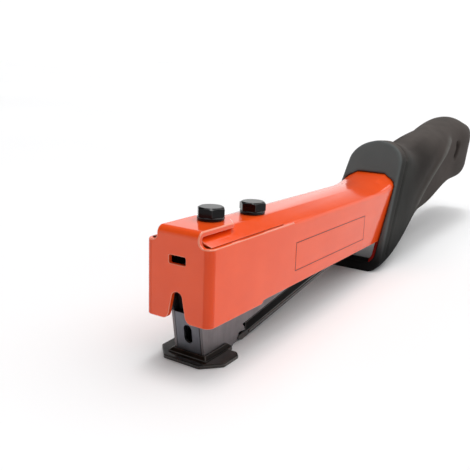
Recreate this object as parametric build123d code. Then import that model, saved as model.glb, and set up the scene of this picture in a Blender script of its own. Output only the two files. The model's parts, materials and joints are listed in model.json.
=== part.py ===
from build123d import *
import os
from math import atan, cos, pi, radians, sin, sqrt, tan

# Hammer tacker: a stapler swung like a hammer. The foot strikes the work, the sprung magazine folds
# into the body and a fixed blade drives one staple out of the nose.
# Millimetres. X runs rearward along the body, Y to the left seen from the front, Z up.
# Pieces are modelled with the body level, X counted from its front face and Z from the striking face.
# The export stands them on the foot and the hoop, with the origin under the foot's front land.

# Body: a folded sheet with a hipped top
body_top = 51.0
half_width = 15.0
ridge_half = 6.2
crease_drop = 3.7
crease_radius = 2.5
sheet = 2.0
shell_rear = 200.0
flare_start = 150.0
flare_end = 179.0
flare_steps = 4
flare_rise = 4.2
flare_ridge_half = 8.5
flare_half_width = 15.4
flare_crease_drop = -0.8
flare_radius = 5.0
roof_front = 2.3
front_bend = 3.0
wrap_length = 60.0
slit_end = 52.8
slit_top = 3.2
slit_bottom = 3.4
front_drop = 33.0
step_x = 36.0
step_run = 1.5
step_drop = 31.7
rear_drop = 30.5
rear_taper_x = 165.0
rear_end_drop = 18.0

# Front face: slot, notch over the nose, and the flap that folds back over the top
slot_width = 7.8
slot_height = 3.2
slot_drop = 9.6
notch_top = 21.7
notch_half = 2.5
notch_mouth_half = 4.3
notch_flare = 3.0
flap_half = 9.65
flap_length = 27.0
flap_chamfer = 5.0
flap_lift = 0.15
flap_root_radius = 2.3

# Two hex bolts clamp the flap and the driver block
bolt_radius = 3.0
bolt_places = (20.2, 49.9)
bolt_flats = 10.0
bolt_head = 3.6
bolt_reach = 14.0
bolt_play = 0.3
bolt_bevel = 0.6
washer_radius = 5.35
washer_thick = 1.6
washer_split = 0.9

# Driver block and blade
block_front = 5.0
block_rear = 62.0
block_bottom = 35.5
block_gap = 0.3
stop_gap = 0.35
block_bevel = 1.0
blade_half = 5.2
blade_thick = 1.2
blade_front = -164.3
blade_tip = -5.2
blade_head = 26.0
screw_radius = 2.0
screw_head_radius = 3.2
screw_head = 2.0
screw_rim = 0.8
screw_length = 8.0
screw_heights = (18.0, 24.0)

# Magazine: pivot, tilt at rest and with the tool struck
pivot_x = 172.0
pivot_z = 32.0
pin_radius = 3.0
spacer_radius = 4.5
rest_tilt = 9.2
struck_tilt = 3.9
running_gap = 0.06
mag_half = 7.0
mag_sheet = 1.2
nose_front = -166.0
nose_top = 14.1
nose_plate_half = 5.75
nose_slot_width = 3.8
nose_slot_height = 7.8
nose_slot_z = 5.25
nose_low = -12.0
carrier_roof = 12.5
carrier_roof_front = -160.9
carrier_low = -1.7
carrier_ear = 6.0
carrier_tail = 9.0
carrier_tail_high = 5.0
carrier_ear_radius = 4.0
stop_tab_top = 19.2
stop_tab_half = 5.0
cheek_front = -163.5
cheek_rear = -150.0
cheek_top = 21.5
cheek_radius = 2.0

# Foot
foot_front = 3.2
foot_rear = 21.8
foot_half = 15.2
foot_front_half = 8.4
foot_chamfer = 7.0
foot_rear_chamfer = 2.0
foot_thick = 1.6
foot_corner = 1.5
foot_bead = 1.7
foot_bead_wide = 2.0
foot_bead_bevel = 1.4
foot_bead_rear = -150.5
foot_gap = 0.1

# Loading tray and staple rail
tray_front = -137.3
tray_rear = -13.0
tray_top = -2.0
tray_floor = -8.45
hem_radius = 0.55
hem_rise = 1.4
hem_sink = 0.15
hem_short = 2.0
rail_half = 4.3
rail_sheet = 1.0
rail_top = 9.0
rail_bottom = -7.2
rail_front = -162.4
rail_ear = 5.2
rail_ear_radius = 5.0
rail_neck = -30.0
rail_heel = -12.0
rail_lift = 0.5
rail_slot_half = 1.1
rail_slot_front = -156.0
rail_slot_rear = -36.0
rod_radius = 0.9
rod_z = 4.0
rod_front = -155.0
stop_front = -30.0
stop_rear = -24.0
stop_drop = 3.0
stop_bevel = 0.6

# Pusher
pusher_front = -161.6
pusher_rear = -147.9
pusher_half = 5.4
pusher_sheet = 0.8
pusher_top = 10.2
pusher_low = -4.4
pusher_web = 1.6
pusher_disc = 2.7
pusher_play = 0.35

# Springs
return_x = 95.0
return_mean = 3.9
return_wire = 1.4
return_turns = 5
return_low = 33.4
cup_radius = 5.7
cup_wall = 0.7
cup_depth = 3.4
feed_mean = 1.9
feed_wire = 0.6
feed_turns = 16
coil_gap_least = 0.4
spring_end_gap = 0.2

# Handle core and the block that sockets it
core_wide = 18.0
core_high = 14.0
core_wall = 2.0
core_radius = 3.0
core_front = 186.0
core_rear = 280.0
core_slope = 0.17
core_fit = 0.1
core_mid_x = 246.0
core_mid_drop = 3.2
socket_front = 184.0
socket_rear = 199.0
socket_drop = 23.0
rivet_radius = 2.0
rivet_places = (188.5, 194.5)

# Guard tabs: hang from the body's sides and hold the grip's hoop
guard_set_back = 0.8
guard_wide = 7.5
guard_half = 15.2
guard_thick = 1.6
guard_radius = 4.5
guard_toe = 12.6

# Rubber grip: hood, hoop and handle
hoop_floor = 9.0
snug_gap = 0.3
passage_half = 11.5
passage_radius = 3.0
passage_front = 130.0
passage_rear = 216.0
passage_top = 20.5
hoop_rear = 162.5
hoop_rear_run = 11.0
groove_x = 181.8
groove_wide = 1.8
groove_deep = 1.0
groove_low = 12.0
lanyard_x = 292.0
lanyard_rise = 10.0
lanyard_high = 13.0
lanyard_wide = 8.0

# Lower edge of the nose's side plates, from the magazine forward to the striking face
nose_edge = [
    (-139.7, carrier_low),
    (-138.2, -3.35),
    (-138.0, -5.1),
    (-142.0, -3.95),
    (-144.7, -7.35),
    (-147.0, -7.4),
    (-147.6, nose_low),
]

# Beak of the loading tray that closes under that edge
tray_beak = [(tray_front, -5.5), (-142.6, -5.7), (-143.2, -7.0), (-140.5, tray_floor)]

# Each grip section: place on the body's top plane, lean of its plane, lowest and highest point from
# the body's top, height of its dome, half width above and below, and the lower corners' radius
grip_sections = [
    (174.6, 0.57, -46.6, 21.5, 12.0, 15.5, 19.2, 8.0),
    (181.4, 0.57, -46.6, 21.5, 12.5, 16.8, 19.4, 8.0),
    (196.0, 0.45, -44.0, 19.5, 14.0, 17.2, 18.2, 9.0),
    (212.0, 0.30, -35.0, 17.5, 15.5, 17.2, 16.6, 9.0),
    (226.0, 0.10, -28.0, 18.8, 16.5, 17.0, 14.8, 9.0),
    (246.0, -0.10, -25.3, 22.0, 16.5, 16.8, 13.8, 9.0),
    (272.0, -0.16, -19.2, 25.4, 16.5, 17.0, 13.7, 9.0),
    (298.0, -0.16, -14.4, 29.8, 17.0, 17.4, 13.8, 9.0),
    (318.0, -0.16, -13.4, 31.6, 17.0, 17.2, 14.2, 9.0),
    (331.0, -0.12, -12.2, 29.8, 15.5, 16.0, 13.5, 8.0),
    (339.0, -0.08, -10.0, 26.8, 13.0, 14.3, 12.2, 7.0),
    (343.0, -0.06, -7.0, 23.6, 11.5, 12.2, 10.6, 6.0),
]

# Stance: the body slopes down to the rear when it stands on the foot and the hoop
stance = 2.0

# Values that follow from the ones above
flap_top = body_top + flap_lift + sheet
mag_inner = mag_half - mag_sheet
strike_x = (foot_front + pivot_x + nose_front * cos(radians(rest_tilt))) / 2
far = 60.0

# Half width, half ridge, rise, crease drop and crease radius of the body's hipped section
plain_hip = (half_width, ridge_half, 0.0, crease_drop, crease_radius)
flared_hip = (flare_half_width, flare_ridge_half, flare_rise, flare_crease_drop, flare_radius)


def side_shape(points):
    """Closed outline in the XZ plane."""
    return make_face(Polyline(*[(x, 0, z) for x, z in points], close=True))


def plan_shape(points, z=0.0):
    """Closed outline in a level plane."""
    return make_face(Polyline(*[(x, y, z) for x, y in points], close=True))


def front_shape(points, x=0.0):
    """Closed outline in a YZ plane."""
    return make_face(Polyline(*[(x, y, z) for y, z in points], close=True))


def across(shape, half):
    """A side outline made solid to the same half width either way."""
    return extrude(shape, amount=half, dir=(0, 1, 0), both=True)


def side_plates(shape, inner, outer):
    """A side outline as a pair of plates, left and right."""
    plate = extrude(Pos(0, inner, 0) * shape, amount=outer - inner, dir=(0, 1, 0))
    return plate + mirror(plate, about=Plane.XZ)


def cross_bar(x, z, radius, half):
    """Round bar along Y."""
    return Pos(x, 0, z) * Rot(90, 0, 0) * Cylinder(radius, 2 * half)


def span(low, high):
    """Upright box between two corners."""
    size = [b - a for a, b in zip(low, high)]
    middle = [(a + b) / 2 for a, b in zip(low, high)]
    return Pos(*middle) * Box(*size)


def in_magazine(shape, tilt=rest_tilt):
    """From the magazine's own frame, with the pivot at its origin, to its place."""
    return Pos(pivot_x, 0, pivot_z) * Rot(0, -tilt, 0) * shape


def hip_section(x, inset, bottom, flare=0.0):
    """The body's hipped cross-section from plain, 0, to flared, 1, drawn in by inset from its surface."""
    wall, ridge, rise, drop, radius = [a + (b - a) * flare**2 for a, b in zip(plain_hip, flared_hip)]
    slope = (rise + drop) / (wall - ridge)
    top = body_top + rise - inset
    ridge -= inset * tan(atan(slope) / 2)
    wall -= inset
    crease = top - (wall - ridge) * slope
    right = [(ridge, top), (wall, crease), (wall, bottom)]
    left = [(-y, z) for y, z in reversed(right)]
    section = front_shape(right + left, x)
    return fillet(section.vertices().group_by(Axis.Z)[1], max(radius - inset, 0.5))


def hip_bar(x_start, x_end, inset, bottom, flare=0.0):
    """A straight bar of that cross-section."""
    section = hip_section(x_start, inset, bottom, flare)
    return extrude(section, amount=x_end - x_start, dir=(1, 0, 0))


def flared_bar(x_start, x_end, inset, bottom):
    """The body's form: straight, then curving out to the collar, then straight again."""
    front = hip_bar(x_start, flare_start, inset, bottom)
    shares = [step / flare_steps for step in range(flare_steps + 1)]
    places = [flare_start + (flare_end - flare_start) * share for share in shares]
    curve = [hip_section(x, inset, bottom, share) for x, share in zip(places, shares)]
    rear = hip_bar(flare_end, x_end, inset, bottom, flare=1.0)
    return front + loft(curve, ruled=True) + rear


def on_floor(shape):
    """Turns a level shape about the striking face to lie with the floor."""
    return Pos(strike_x, 0, 0) * Rot(0, -stance, 0) * Pos(-strike_x, 0, 0) * shape


def above_floor(shape):
    """Ground flat where it would reach below the surface the tool stands on."""
    return shape - on_floor(span((-far, -far, -far), (4 * far, far, 0)))


def biarc(start, start_dir, end, end_dir):
    """Two arcs that leave start and reach end along the given directions."""
    chord = end - start
    total = start_dir + end_dir
    bend = 2 * (1 - start_dir.dot(end_dir))
    reach = chord.dot(total)
    arm = (sqrt(reach**2 + bend * chord.dot(chord)) - reach) / bend
    first = start + start_dir * arm
    last = end - end_dir * arm
    joint = (first + last) * 0.5
    return [TangentArc(start, joint, tangent=start_dir), TangentArc(joint, end, tangent=last - first)]


def coil(mean, wire, turns, length, name):
    """Helical spring along +Z from the origin, one unbroken wire of quarter-turn biarcs."""
    rise = (length - wire) / turns

    def place(turn):
        angle = 2 * pi * turn
        return Vector(mean * cos(angle), mean * sin(angle), wire / 2 + rise * turn)

    def heading(turn):
        angle = 2 * pi * turn
        return Vector(-mean * sin(angle), mean * cos(angle), rise / (2 * pi)).normalized()

    arcs = []
    for quarter in range(4 * turns):
        a = quarter / 4
        b = a + 0.25
        arcs += biarc(place(a), heading(a), place(b), heading(b))
    path = Wire([edge for arc in arcs for edge in arc.edges()])
    section = Plane(origin=place(0), z_dir=heading(0)) * Circle(wire / 2)
    points = [path.position_at(i / (24 * turns)) for i in range(24 * turns + 1)]
    gap = min((p - q).length for i, p in enumerate(points) for q in points[i + 16:]) - wire
    print(f"{name}: least gap between turns {gap:.2f} mm, needs over {coil_gap_least}")
    return sweep(section, path=path)


def body_shell():
    lower = body_top - front_drop
    hollow = flared_bar(roof_front - 1, shell_rear + 1, sheet, -1)
    shell = flared_bar(roof_front, shell_rear, 0, lower) - hollow
    shell -= span((-1, -far, -1), (slit_end, far, body_top - slit_top))

    def wrap(inset):
        wall = half_width - inset
        end = wrap_length + inset
        face = plan_shape([(inset, -wall), (end, -wall), (end, wall), (inset, wall)], lower)
        bent = fillet(face.vertices().group_by(Axis.X)[0], front_bend - inset)
        return extrude(bent, amount=front_drop - slit_bottom, dir=(0, 0, 1))

    flat = half_width - front_bend
    sides = wrap(0) - wrap(sheet) - span((-1, -flat, -1), (sheet + 1, flat, far))
    shell += sides + front_plate(flat, lower) + flap()
    shell -= under_body(0)
    for x in bolt_places:
        shell -= Pos(x, 0, body_top) * Cylinder(bolt_radius + bolt_play, 4 * sheet)
    shell -= cross_bar(pivot_x, pivot_z, pin_radius + running_gap, far)
    return shell - rivet_bars(rivet_radius + running_gap, far)


def under_body(gap):
    """Everything below the body's lower edge, less a gap."""
    edge = [
        (-1, front_drop),
        (step_x, front_drop),
        (step_x + step_run, step_drop),
        (rear_taper_x, rear_drop),
        (shell_rear, rear_end_drop),
        (shell_rear + 1, rear_end_drop),
        (shell_rear + 1, far),
        (-1, far),
    ]
    return across(side_shape([(x, body_top - gap - drop) for x, drop in edge]), far)


def front_plate(flat, lower):
    """Flat of the front face, with its slot, its notch and the fillets at the flap's root."""
    bend_start = flap_top - front_bend
    wrap_top = body_top - slit_bottom
    right = [(flat, lower), (flat, wrap_top), (flap_half, wrap_top), (flap_half, bend_start)]
    plate = front_shape(right + [(-y, z) for y, z in reversed(right)])
    roots = [v for v in plate.vertices() if abs(abs(v.Y) - flap_half) < 0.1 and v.Z < bend_start - 0.1]
    plate = fillet(roots, flap_root_radius)
    crown = body_top - notch_top
    side = [(notch_mouth_half, lower), (notch_half, crown - notch_half), (notch_half, crown)]
    notch = front_shape(side + [(-y, z) for y, z in reversed(side)])
    plate -= fillet(notch.vertices().group_by(Axis.Z)[-1], notch_half - 0.05)
    mouth = [v for v in plate.vertices() if abs(v.Y) < flat - 1 and v.Z < lower + 0.1]
    plate = fillet(mouth, notch_flare)
    solid = extrude(plate, amount=sheet, dir=(1, 0, 0))
    slot = Plane.YZ * Pos(0, body_top - slot_drop) * RectangleRounded(slot_width, slot_height, 0.7)
    return solid - extrude(slot, amount=far, both=True)


def flap():
    """Tongue that rises from the front face, bends back over the top and takes the first bolt."""
    low = flap_top - sheet
    start = flap_top - front_bend
    outline = [
        (0, start),
        (0, flap_top),
        (flap_length, flap_top),
        (flap_length, low),
        (sheet, low),
        (sheet, start),
    ]
    strip = side_shape(outline)
    strip = fillet([v for v in strip.vertices() if v.X < 0.1 and v.Z > start + 0.1], front_bend)
    inner = [v for v in strip.vertices() if abs(v.X - sheet) < 0.1 and v.Z > start + 0.1]
    strip = fillet(inner, front_bend - sheet)
    tip = flap_length - flap_chamfer
    half = [(-1, flap_half), (tip, flap_half), (flap_length, flap_half - flap_chamfer)]
    plan = plan_shape(half + [(x, -y) for x, y in reversed(half)])
    return across(strip, flap_half) & extrude(plan, amount=2 * far, dir=(0, 0, 1))


def bolt_seats():
    """Height that each bolt's washer rests on: the flap in front, the bare top behind."""
    return zip(bolt_places, (flap_top, body_top))


def head_bolts():
    corner = bolt_flats / sqrt(3)
    crown = Cylinder(corner, bolt_head, align=(Align.CENTER, Align.CENTER, Align.MIN))
    crown = chamfer(crown.edges().sort_by(Axis.Z)[-1], bolt_bevel)
    hexagon = RegularPolygon(bolt_flats / 2, 6, major_radius=False)
    head = extrude(hexagon, amount=bolt_head) & crown
    bolts = []
    for x, seat in bolt_seats():
        under = seat + washer_thick
        length = under - (body_top - bolt_reach)
        shank = Cylinder(bolt_radius, length, align=(Align.CENTER, Align.CENTER, Align.MAX))
        shank = chamfer(shank.edges().sort_by(Axis.Z)[0], bolt_bevel)
        bolts.append(Pos(x, 0, under) * (head + shank))
    return bolts


def spring_washers():
    ring = Cylinder(washer_radius, washer_thick) - Cylinder(bolt_radius + bolt_play, washer_thick)
    cut = Box(2 * washer_radius, washer_split, 4 * washer_thick)
    ring -= Pos(washer_radius, 0, 0) * Rot(35, 0, 0) * cut
    return [Pos(x, 0, seat + washer_thick / 2) * Rot(0, 0, 40) * ring for x, seat in bolt_seats()]


def driver_block():
    """Weight under the top. Its sloped underside meets the magazine flat at the end of a blow, and two
    grooves take the nose's cheeks."""
    block = hip_bar(block_front, block_rear, sheet + block_gap, block_bottom)
    rear_face = blade_front + blade_thick
    block -= in_magazine(span((rear_face - far, -far, -far), (rear_face, far, far)), struck_tilt)
    landing = span((-3 * far, -far, -far), (far, far, carrier_roof + stop_gap))
    block -= in_magazine(landing, struck_tilt)
    block = chamfer(block.edges().filter_by(Axis.Y).group_by(Axis.X)[-1], block_bevel)
    groove = cheek_shape(far, stop_gap)
    groove = side_plates(groove, mag_inner - stop_gap, mag_half + stop_gap)
    block -= in_magazine(groove, struck_tilt)
    for x in bolt_places:
        block -= Pos(x, 0, body_top) * Cylinder(bolt_radius + running_gap, far)
    return block - blade_holes()


def blade_holes():
    """Screw holes through the blade and into the block, square to the blade."""
    hole = Rot(0, 90, 0) * Cylinder(screw_radius + running_gap, 2 * screw_length + 2)
    holes = Part() + [Pos(blade_front, 0, z) * hole for z in screw_heights]
    return in_magazine(holes, struck_tilt)


def driver_blade():
    rear_face = blade_front + blade_thick
    blade = span((blade_front, -blade_half, blade_tip), (rear_face, blade_half, blade_head))
    return in_magazine(blade, struck_tilt) - blade_holes()


def blade_screws():
    outline = [
        (0, 0),
        (screw_head_radius, 0),
        (screw_head_radius, screw_rim),
        (screw_head_radius - screw_rim, screw_head),
        (0, screw_head),
    ]
    head = revolve(side_shape(outline), axis=Axis.Z)
    shank = Cylinder(screw_radius, screw_length, align=(Align.CENTER, Align.CENTER, Align.MAX))
    screw = Rot(0, -90, 0) * (head + shank)
    return [in_magazine(Pos(blade_front, 0, z) * screw, struck_tilt) for z in screw_heights]


def pivot_pin():
    pin = cross_bar(pivot_x, pivot_z, pin_radius, half_width + 0.2)
    return chamfer(pin.edges().filter_by(GeomType.CIRCLE), 0.3)


def pivot_spacers():
    inner = mag_half + 0.3
    outer = half_width - sheet
    tube = cross_bar(pivot_x, pivot_z, spacer_radius, (outer - inner) / 2)
    tube -= cross_bar(pivot_x, pivot_z, pin_radius + running_gap, outer)
    return [Pos(0, way * (inner + outer) / 2, 0) * tube for way in (-1, 1)]


def cheek_shape(front_room=0.0, room=0.0):
    """Side outline of the nose's cheeks, grown by some room."""
    front = cheek_front - front_room
    rear = cheek_rear + room
    top = cheek_top + room
    face = side_shape([(front, 0), (front, top), (rear, top), (rear, 0)])
    return fillet(face.vertices().group_by(Axis.Z)[-1], cheek_radius + room)


def magazine_carrier():
    """Folded channel over the staples, with the nose's two side plates and their cheeks at its front."""
    outline = [
        (nose_front, nose_top),
        (carrier_roof_front, nose_top),
        (carrier_roof_front, carrier_roof),
        (carrier_tail, carrier_roof),
        (carrier_tail, carrier_roof - carrier_tail_high),
        (carrier_ear, 0),
        (0, -carrier_ear),
        (-2 * carrier_ear, carrier_low),
        *nose_edge,
        (nose_front, nose_low),
    ]
    side = side_shape(outline)
    ear = [v for v in side.vertices() if v.X > -carrier_ear and v.Z < carrier_ear]
    side = fillet(ear, carrier_ear_radius)
    plates = side_plates(side, mag_inner, mag_half)
    roof = span(
        (carrier_roof_front, -mag_half, carrier_roof - mag_sheet), (carrier_tail, mag_half, carrier_roof)
    )
    tab = span(
        (carrier_tail - mag_sheet, -stop_tab_half, carrier_roof - mag_sheet),
        (carrier_tail, stop_tab_half, stop_tab_top),
    )
    folded = plates + roof
    long_edges = [e for e in folded.edges().filter_by(Axis.X) if e.length > far]
    bends = [e for e in long_edges if abs(e.center().Z - carrier_roof) < 0.1]
    folded = fillet(bends, mag_sheet) + tab + side_plates(cheek_shape(), mag_inner, mag_half)
    folded -= cross_bar(0, 0, pin_radius + running_gap, far)
    return above_floor(in_magazine(folded))


def nose_front_plate():
    rear_face = nose_front + mag_sheet
    plate = span((nose_front, -nose_plate_half, nose_low), (rear_face, nose_plate_half, nose_top))
    slot = Plane.YZ * Pos(0, nose_slot_z) * Rot(0, 0, 90)
    slot *= SlotOverall(nose_slot_height, nose_slot_width)
    plate -= Pos(nose_front, 0, 0) * extrude(slot, amount=far, both=True)
    return above_floor(in_magazine(plate))


def foot_plate():
    """Rounded plate welded round the nose with a sloped bead, open to the rear for the tray's swing."""
    half = [
        (foot_front, foot_front_half),
        (foot_front + foot_chamfer, foot_half),
        (foot_rear - foot_rear_chamfer, foot_half),
        (foot_rear, foot_half - foot_rear_chamfer),
    ]
    outline = plan_shape(half + [(x, -y) for x, y in reversed(half)])
    outline = fillet(outline.vertices(), foot_corner)
    plate = extrude(outline, amount=foot_thick, dir=(0, 0, 1))
    plate = on_floor(chamfer(plate.edges().group_by(Axis.Z)[-1], 0.4))
    front = nose_front - foot_gap
    inner = mag_half + foot_gap
    outer = inner + foot_bead_wide
    bead = in_magazine(span((front - foot_bead_wide, -outer, -far), (foot_bead_rear, outer, far)))
    bead &= on_floor(span((-far, -far, 0), (far, far, foot_thick + foot_bead)))
    bead = chamfer(bead.faces().sort_by(Axis.Z)[-1].edges(), foot_bead_bevel)
    opening = in_magazine(span((front, -inner, -far), (-far, inner, far)))
    return plate + bead - opening


def magazine_tray():
    """Upward channel that closes the magazine from below, with a beaded hem along each side."""
    outline = [(tray_front, tray_top), *tray_beak, (tray_rear, tray_floor), (tray_rear, tray_top)]
    channel = across(side_shape(outline), mag_half)
    channel -= span((-3 * far, -mag_inner, tray_floor + mag_sheet), (far, mag_inner, far))
    middle = (tray_front + tray_rear) / 2
    bead = Pos(middle, mag_half - hem_sink, tray_floor + hem_rise) * Rot(0, 90, 0)
    bead *= Cylinder(hem_radius, tray_rear - tray_front - 2 * hem_short)
    return in_magazine(channel + bead + mirror(bead, about=Plane.XZ))


def staple_rail():
    """Inverted channel that the staples straddle, with ears on the pivot and a slot for the pusher."""
    outline = [
        (rail_front, rail_top),
        (rail_neck, rail_top),
        (-rail_ear, rail_ear),
        (rail_ear, rail_ear),
        (rail_ear, -rail_ear),
        (-rail_ear, -rail_ear),
        (rail_heel, rail_bottom),
        (rail_front, rail_bottom),
    ]
    side = side_shape(outline)
    side = fillet([v for v in side.vertices() if v.X > 0], rail_ear_radius)
    rail = across(side, rail_half)
    inner = rail_half - rail_sheet
    rail -= span((-3 * far, -inner, -far), (far, inner, rail_top - rail_sheet))
    slot = SlotOverall(rail_slot_rear - rail_slot_front, 2 * rail_slot_half)
    slot = Pos((rail_slot_front + rail_slot_rear) / 2, 0, rail_top) * extrude(slot, amount=far, both=True)
    rail -= slot + cross_bar(0, 0, pin_radius + running_gap, far)
    lifted = on_floor(span((-far, -far, -far), (2 * far, far, rail_lift)))
    return in_magazine(rail) - lifted


def guide_rod():
    rod = Cylinder(rod_radius, stop_rear - rod_front, align=(Align.CENTER, Align.CENTER, Align.MIN))
    return in_magazine(Pos(rod_front, 0, rod_z) * Rot(0, 90, 0) * rod)


def spring_stop():
    inner = rail_half - rail_sheet
    block = span((stop_front, -inner, rod_z - stop_drop), (stop_rear, inner, rail_top - rail_sheet))
    block = chamfer(block.edges().filter_by(Axis.Y), stop_bevel)
    block -= Pos(stop_front, 0, rod_z) * Rot(0, 90, 0) * Cylinder(rod_radius, far)
    return in_magazine(block)


def pusher():
    """Saddle astride the rail, with a web through the rail's slot down to the rod and its spring."""
    saddle = span((pusher_front, -pusher_half, pusher_low), (pusher_rear, pusher_half, pusher_top))
    inner = pusher_half - pusher_sheet
    under = pusher_top - pusher_sheet
    saddle -= span((pusher_front - 1, -inner, -far), (pusher_rear + 1, inner, under))
    heel = pusher_rear - pusher_web
    web_half = rail_slot_half - pusher_play
    web = span((heel, -web_half, rod_z), (pusher_rear, web_half, under))
    disc = Pos(heel + pusher_web / 2, 0, rod_z) * Rot(0, 90, 0) * Cylinder(pusher_disc, pusher_web)
    body = saddle + web + disc
    body -= Pos(heel, 0, rod_z) * Rot(0, 90, 0) * Cylinder(rod_radius + running_gap, far)
    return in_magazine(body)


def pusher_spring():
    start = pusher_rear + spring_end_gap
    length = stop_front - spring_end_gap - start
    wire_run = coil(feed_mean, feed_wire, feed_turns, length, "pusher_spring")
    return in_magazine(Pos(start, 0, rod_z) * Rot(0, 90, 0) * wire_run)


def return_spring():
    top = body_top - sheet - cup_wall
    wire_run = coil(return_mean, return_wire, return_turns, top - return_low, "return_spring")
    return Pos(return_x, 0, return_low) * wire_run


def spring_cup():
    cup = Cylinder(cup_radius, cup_depth, align=(Align.CENTER, Align.CENTER, Align.MAX))
    cup = fillet(cup.edges().sort_by(Axis.Z)[-1], 0.5)
    bore = Cylinder(cup_radius - cup_wall, cup_depth, align=(Align.CENTER, Align.CENTER, Align.MAX))
    return Pos(return_x, 0, body_top - sheet) * (cup - Pos(0, 0, -cup_wall) * bore)


def core_height(x):
    return body_top - core_mid_drop + (x - core_mid_x) * core_slope


def core_bar(x_start, x_end, wide, high, radius):
    """Rounded bar along the handle's axis."""
    start = (x_start, 0, core_height(x_start))
    plane = Plane(origin=start, x_dir=(0, 1, 0), z_dir=(1, 0, core_slope))
    length = (x_end - x_start) * sqrt(1 + core_slope**2)
    return extrude(plane * RectangleRounded(wide, high, radius), amount=length)


def handle_core():
    tube = core_bar(core_front, core_rear, core_wide, core_high, core_radius)
    bore_wide = core_wide - 2 * core_wall
    bore_high = core_high - 2 * core_wall
    tube -= core_bar(core_front - sheet, core_rear + sheet, bore_wide, bore_high, core_radius - core_wall)
    return tube - rivet_bars(rivet_radius + running_gap, far)


def rivet_bars(radius, half):
    return Part() + [cross_bar(x, core_height(x), radius, half) for x in rivet_places]


def rear_block():
    """Socket inside the body's rear end that holds the handle core."""
    block = hip_bar(socket_front, socket_rear, sheet + core_fit, body_top - socket_drop, flare=1.0)
    block -= under_body(0)
    wide = core_wide + core_fit
    high = core_high + core_fit
    block -= core_bar(core_front - core_high, core_rear, wide, high, core_radius)
    return block - rivet_bars(rivet_radius + running_gap, far)


def core_rivets():
    return [cross_bar(x, core_height(x), rivet_radius, half_width - 0.05) for x in rivet_places]


def rim_band(front, rear, low, high):
    """Side outline that leans with the grip's rim, between two distances behind it."""
    x, lean, *rest = grip_sections[0]
    corners = [(front, low), (rear, low), (rear, high), (front, high)]
    return side_shape([(x + behind + lean * (z - body_top), z) for behind, z in corners])


def guard_tabs():
    """Two tabs of flat steel welded under the body's lower edges, with toes bent into the hoop."""
    top = passage_top + 1

    def bent(inset):
        half = guard_half - inset
        floor = hoop_floor + inset
        face = front_shape([(-half, top), (-half, floor), (half, floor), (half, top)])
        return fillet(face.vertices().group_by(Axis.Z)[0], guard_radius - inset)

    strap = extrude(bent(0) - bent(guard_thick), amount=4 * far, dir=(1, 0, 0))
    strap &= across(rim_band(guard_set_back, guard_set_back + guard_wide, 0, top), far)
    strap -= span((0, -guard_toe, 0), (4 * far, guard_toe, top))
    return strap & under_body(0)


def grip_section(x, lean, low, high, dome, top_half, low_half, corner, grow=0.0):
    """Rounded section: flat foot, rounded lower corners, straight sides and a domed top."""
    stretch = sqrt(1 + lean**2)
    plane = Plane(origin=(x, 0, body_top), x_dir=(0, 1, 0), z_dir=(1, 0, -lean))
    top_half += grow
    low_half += grow
    foot = low * stretch - grow
    crest = high * stretch + grow
    dome = dome * stretch + grow
    shoulder = crest - dome
    edges = [
        Line((corner - low_half, foot), (low_half - corner, foot)),
        EllipticalCenterArc((low_half - corner, foot + corner), corner, corner, -90),
        Line((low_half, foot + corner), (top_half, shoulder)),
        EllipticalCenterArc((0, shoulder), top_half, dome, 0),
        EllipticalCenterArc((0, shoulder), top_half, dome, 90),
        Line((-top_half, shoulder), (-low_half, foot + corner)),
        EllipticalCenterArc((corner - low_half, foot + corner), corner, corner, 180),
    ]
    return plane * make_face(edges)


def grip_groove():
    """Parting groove behind the hood's rim, left out where the hoop stands on the floor."""
    x, lean, *rest = grip_sections[1]
    outer = grip_section(groove_x, lean, *rest, grow=3.0)
    inner = grip_section(groove_x, lean, *rest, grow=-groove_deep)
    cut = extrude(outer - inner, amount=groove_wide)
    return cut & span((0, -far, groove_low), (4 * far, far, 2 * far))


def grip_sleeve():
    """Moulded rubber: hood over the body's flare, hoop under it, and the handle round the core."""
    grip = above_floor(loft([grip_section(*values) for values in grip_sections]))
    pocket = flared_bar(passage_front, shell_rear + snug_gap, -snug_gap, passage_top - 1)
    pocket -= under_body(snug_gap)
    recess = rim_band(-far, guard_set_back + guard_wide + snug_gap, hoop_floor, passage_top)
    recess = across(recess, guard_half + snug_gap)
    recess = fillet(recess.edges().filter_by(Axis.X).group_by(Axis.Z)[0], guard_radius)
    passage = span((passage_front, -passage_half, hoop_floor), (passage_rear, passage_half, passage_top))
    passage = fillet(passage.edges().filter_by(Axis.X), passage_radius)
    behind = [
        (hoop_rear, passage_top),
        (hoop_rear, hoop_floor),
        (hoop_rear + hoop_rear_run, 0),
        (passage_rear, 0),
        (passage_rear, passage_top),
    ]
    grip -= pocket + recess + passage + across(side_shape(behind), passage_half)
    wide = core_wide + 2 * snug_gap
    high = core_high + 2 * snug_gap
    grip -= core_bar(core_front, core_rear + snug_gap, wide, high, core_radius)
    grip -= grip_groove()
    slot = Plane.XZ * Pos(lanyard_x, body_top + lanyard_rise) * Rot(0, 0, 90)
    slot *= SlotOverall(lanyard_high, lanyard_wide)
    return grip - extrude(slot, amount=far, both=True)


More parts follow.
